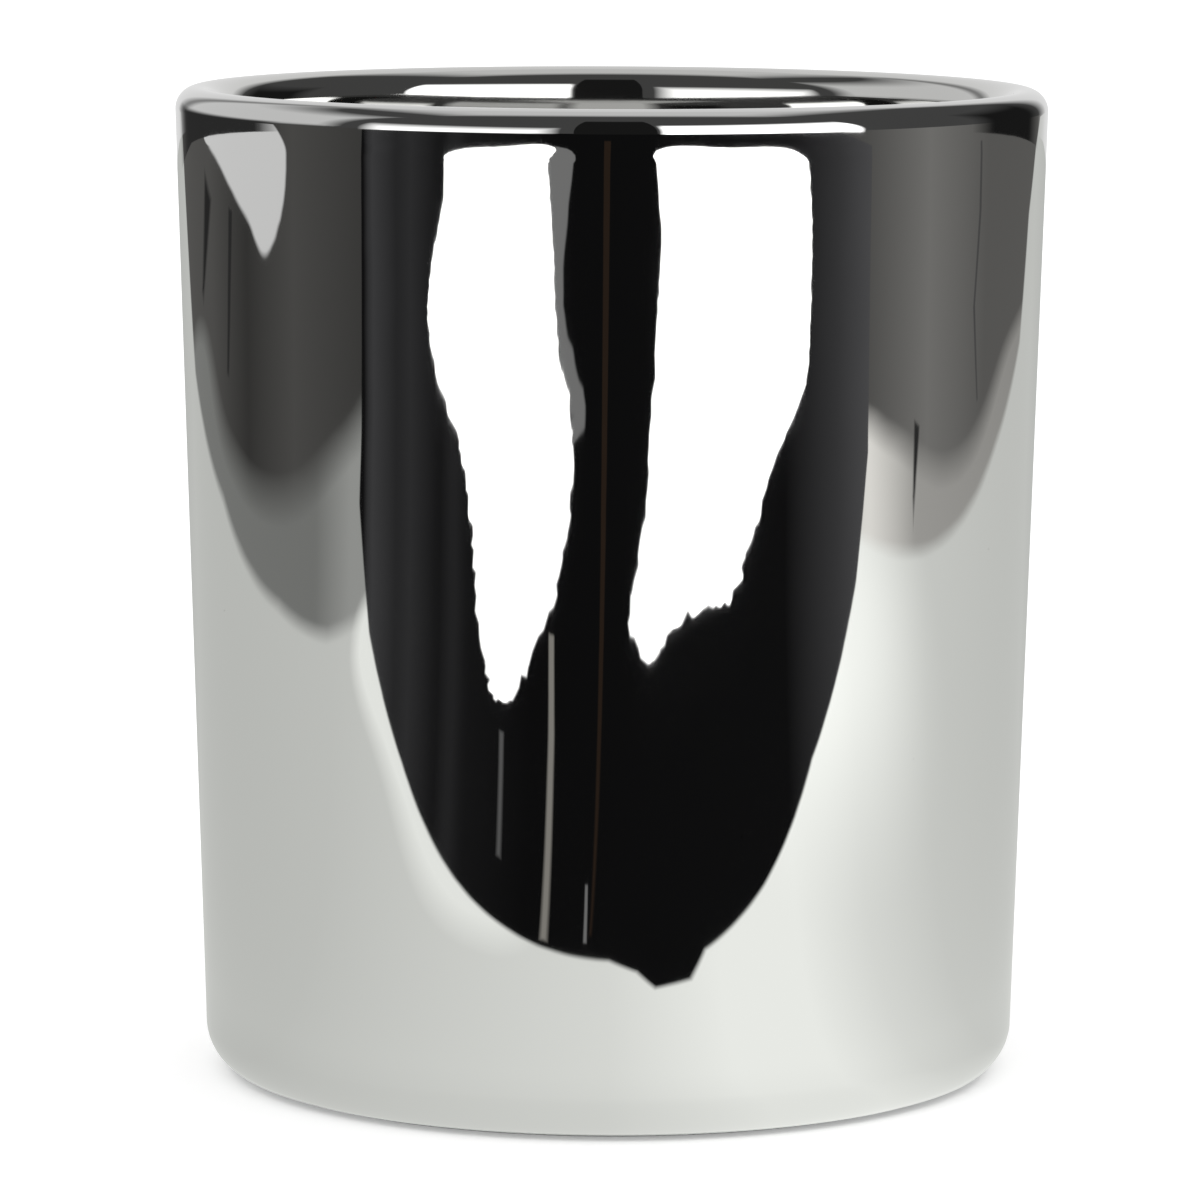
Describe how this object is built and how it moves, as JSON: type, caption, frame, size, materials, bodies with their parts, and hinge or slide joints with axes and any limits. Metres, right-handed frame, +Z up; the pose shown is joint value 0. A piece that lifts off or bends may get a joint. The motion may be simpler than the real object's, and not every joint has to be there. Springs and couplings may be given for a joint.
{
  "type": "container candle",
  "caption": "Round, slightly tapered candle vessel of thick pressed glass with a mirror silver finish inside and out, filled with wax round a central wick.",
  "frame": {"origin": "centre of the foot ring, on the plane that the vessel stands on", "axes": "+Z up the vessel's axis of symmetry; X and Y are any two directions square to it"},
  "size_m": [0.08, 0.08, 0.091],
  "materials": {
    "pressed_glass": "clear polished",
    "outer_mirror": "polished silver",
    "inner_mirror": "polished silver",
    "candle_wax": "satin",
    "wick_cotton": "waxed braid",
    "tinned_steel": "satin",
    "foam_tape": "matte"
  },
  "bodies": {
    "root": {"glass_body": "pressed_glass", "outer_mirror_film": "outer_mirror", "inner_mirror_film": "inner_mirror", "wax_fill": "candle_wax", "wick": "wick_cotton", "wick_sustainer": "tinned_steel", "sustainer_pad": "foam_tape"}
  },
  "joints": []
}
